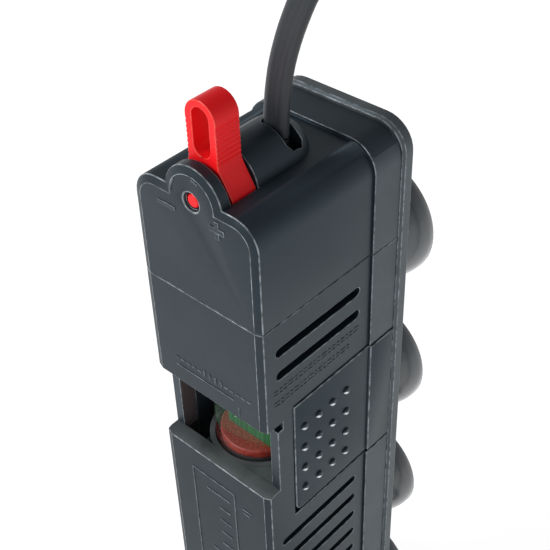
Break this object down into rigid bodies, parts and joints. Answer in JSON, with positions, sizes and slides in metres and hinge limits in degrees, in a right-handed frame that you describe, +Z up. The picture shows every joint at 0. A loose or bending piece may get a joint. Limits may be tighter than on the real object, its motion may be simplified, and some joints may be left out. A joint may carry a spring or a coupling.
{
  "type": "submersible aquarium heater",
  "caption": "Submersible aquarium heater in a slotted guard housing with a red setting lever, a glass heating tube behind a window, squeeze latches, suction cups and a coiled mains lead",
  "frame": {"origin": "middle of the heater's box at its foot", "axes": "+Z up, +Y from the front face to the suction cups, +X to the right seen from the front"},
  "size_m": [0.1352, 0.0945, 0.3085],
  "materials": {
    "housing": "satin moulded plastic, dark blue-grey",
    "pads": "satin moulded plastic, dark grey",
    "red_plastic": "bright red moulded plastic",
    "cup_rubber": "glossy black-grey rubber",
    "seal_rubber": "matt black rubber",
    "glass": "clear glass",
    "disc": "dark red insulating board",
    "collar": "dark grey plastic",
    "board": "green circuit board",
    "frame_plastic": "cream heat-resistant plastic",
    "brass": "machined brass",
    "steel": "plain steel",
    "ceramic": "unglazed ceramic",
    "coil_wire": "resistance wire",
    "lamp_red": "red lens",
    "lamp_green": "green lens",
    "capacitor": "coated capacitor",
    "lead_jacket": "black cord jacket",
    "wire_brown": "brown insulation",
    "wire_blue": "blue insulation",
    "tie": "black strap"
  },
  "bodies": {
    "heater": {"head_housing": "housing", "main_housing": "housing", "back_plate": "housing", "suction_cup_1": "cup_rubber", "suction_cup_2": "cup_rubber", "suction_cup_3": "cup_rubber", "suction_cup_4": "cup_rubber", "base_cap": "housing", "glass_tube": "glass", "tube_head": "seal_rubber", "tube_seal_ring": "seal_rubber", "tube_cushion": "seal_rubber", "insulating_disc": "disc", "disc_collar": "collar", "element_lead_live": "steel", "element_lead_neutral": "steel", "ceramic_core": "ceramic", "heating_coil": "coil_wire", "circuit_board": "board", "thermostat_frame": "frame_plastic", "bimetal_strip": "brass", "contact_magnet": "steel", "fixed_contact": "steel", "heating_lamp": "lamp_red", "ready_lamp": "lamp_green", "suppressor_capacitor": "capacitor", "thermal_fuse": "steel", "supply_lead_live": "wire_brown", "supply_lead_neutral": "wire_blue", "cord_grommet": "seal_rubber", "cord_clamp": "frame_plastic", "clamp_screw_1": "steel", "clamp_screw_2": "steel", "head_screw_1": "steel", "head_screw_2": "steel", "base_screw_1": "steel", "base_screw_2": "steel", "cord": "lead_jacket", "cord_coil": "lead_jacket", "cord_tail": "lead_jacket", "cord_tie": "tie", "plug_body": "lead_jacket", "plug_pin_1": "brass", "plug_pin_2": "brass"},
    "lever": {"temperature_lever": "red_plastic", "setting_shaft": "brass", "setting_bevel": "frame_plastic"},
    "spindle": {"setting_spindle": "brass", "spindle_bevel": "frame_plastic"},
    "nut": {"setting_nut": "frame_plastic"},
    "contact": {"contact_arm": "steel"},
    "pad_right": {"latch_pad_right": "pads"},
    "pad_left": {"latch_pad_left": "pads"}
  },
  "joints": [
    {"name": "lever_turn", "type": "hinge", "parent": "heater", "child": "lever", "pos_m": [0, -0.0385, 0.2405], "axis": [0, 1, 0], "range_deg": [-40, 40]},
    {"name": "spindle_turn", "type": "hinge", "parent": "heater", "child": "spindle", "pos_m": [0, -0.0165, 0.237], "axis": [0, 0, 1], "range_deg": [-41, 41]},
    {"name": "nut_slide", "type": "slide", "parent": "heater", "child": "nut", "axis": [0, 0, 1], "range_m": [-0.0014, 0.0014]},
    {"name": "contact_spring", "type": "hinge", "parent": "heater", "child": "contact", "pos_m": [0.0065, -0.0199, 0.184], "axis": [1, 0, 0], "range_deg": [0, 3], "stiffness_Nm_per_rad": 0.02},
    {"name": "pad_right_squeeze", "type": "hinge", "parent": "heater", "child": "pad_right", "pos_m": [0.0206, -0.0268, 0.15], "axis": [0, 0, 1], "range_deg": [0, 3], "stiffness_Nm_per_rad": 4},
    {"name": "pad_left_squeeze", "type": "hinge", "parent": "heater", "child": "pad_left", "pos_m": [-0.0206, -0.0268, 0.15], "axis": [0, 0, -1], "range_deg": [0, 3], "stiffness_Nm_per_rad": 4}
  ],
  "couplings": [
    {"joint": "spindle_turn", "follows": "lever_turn", "ratio": -1},
    {"joint": "nut_slide", "follows": "lever_turn", "m_per_rad": 0.0019}
  ]
}
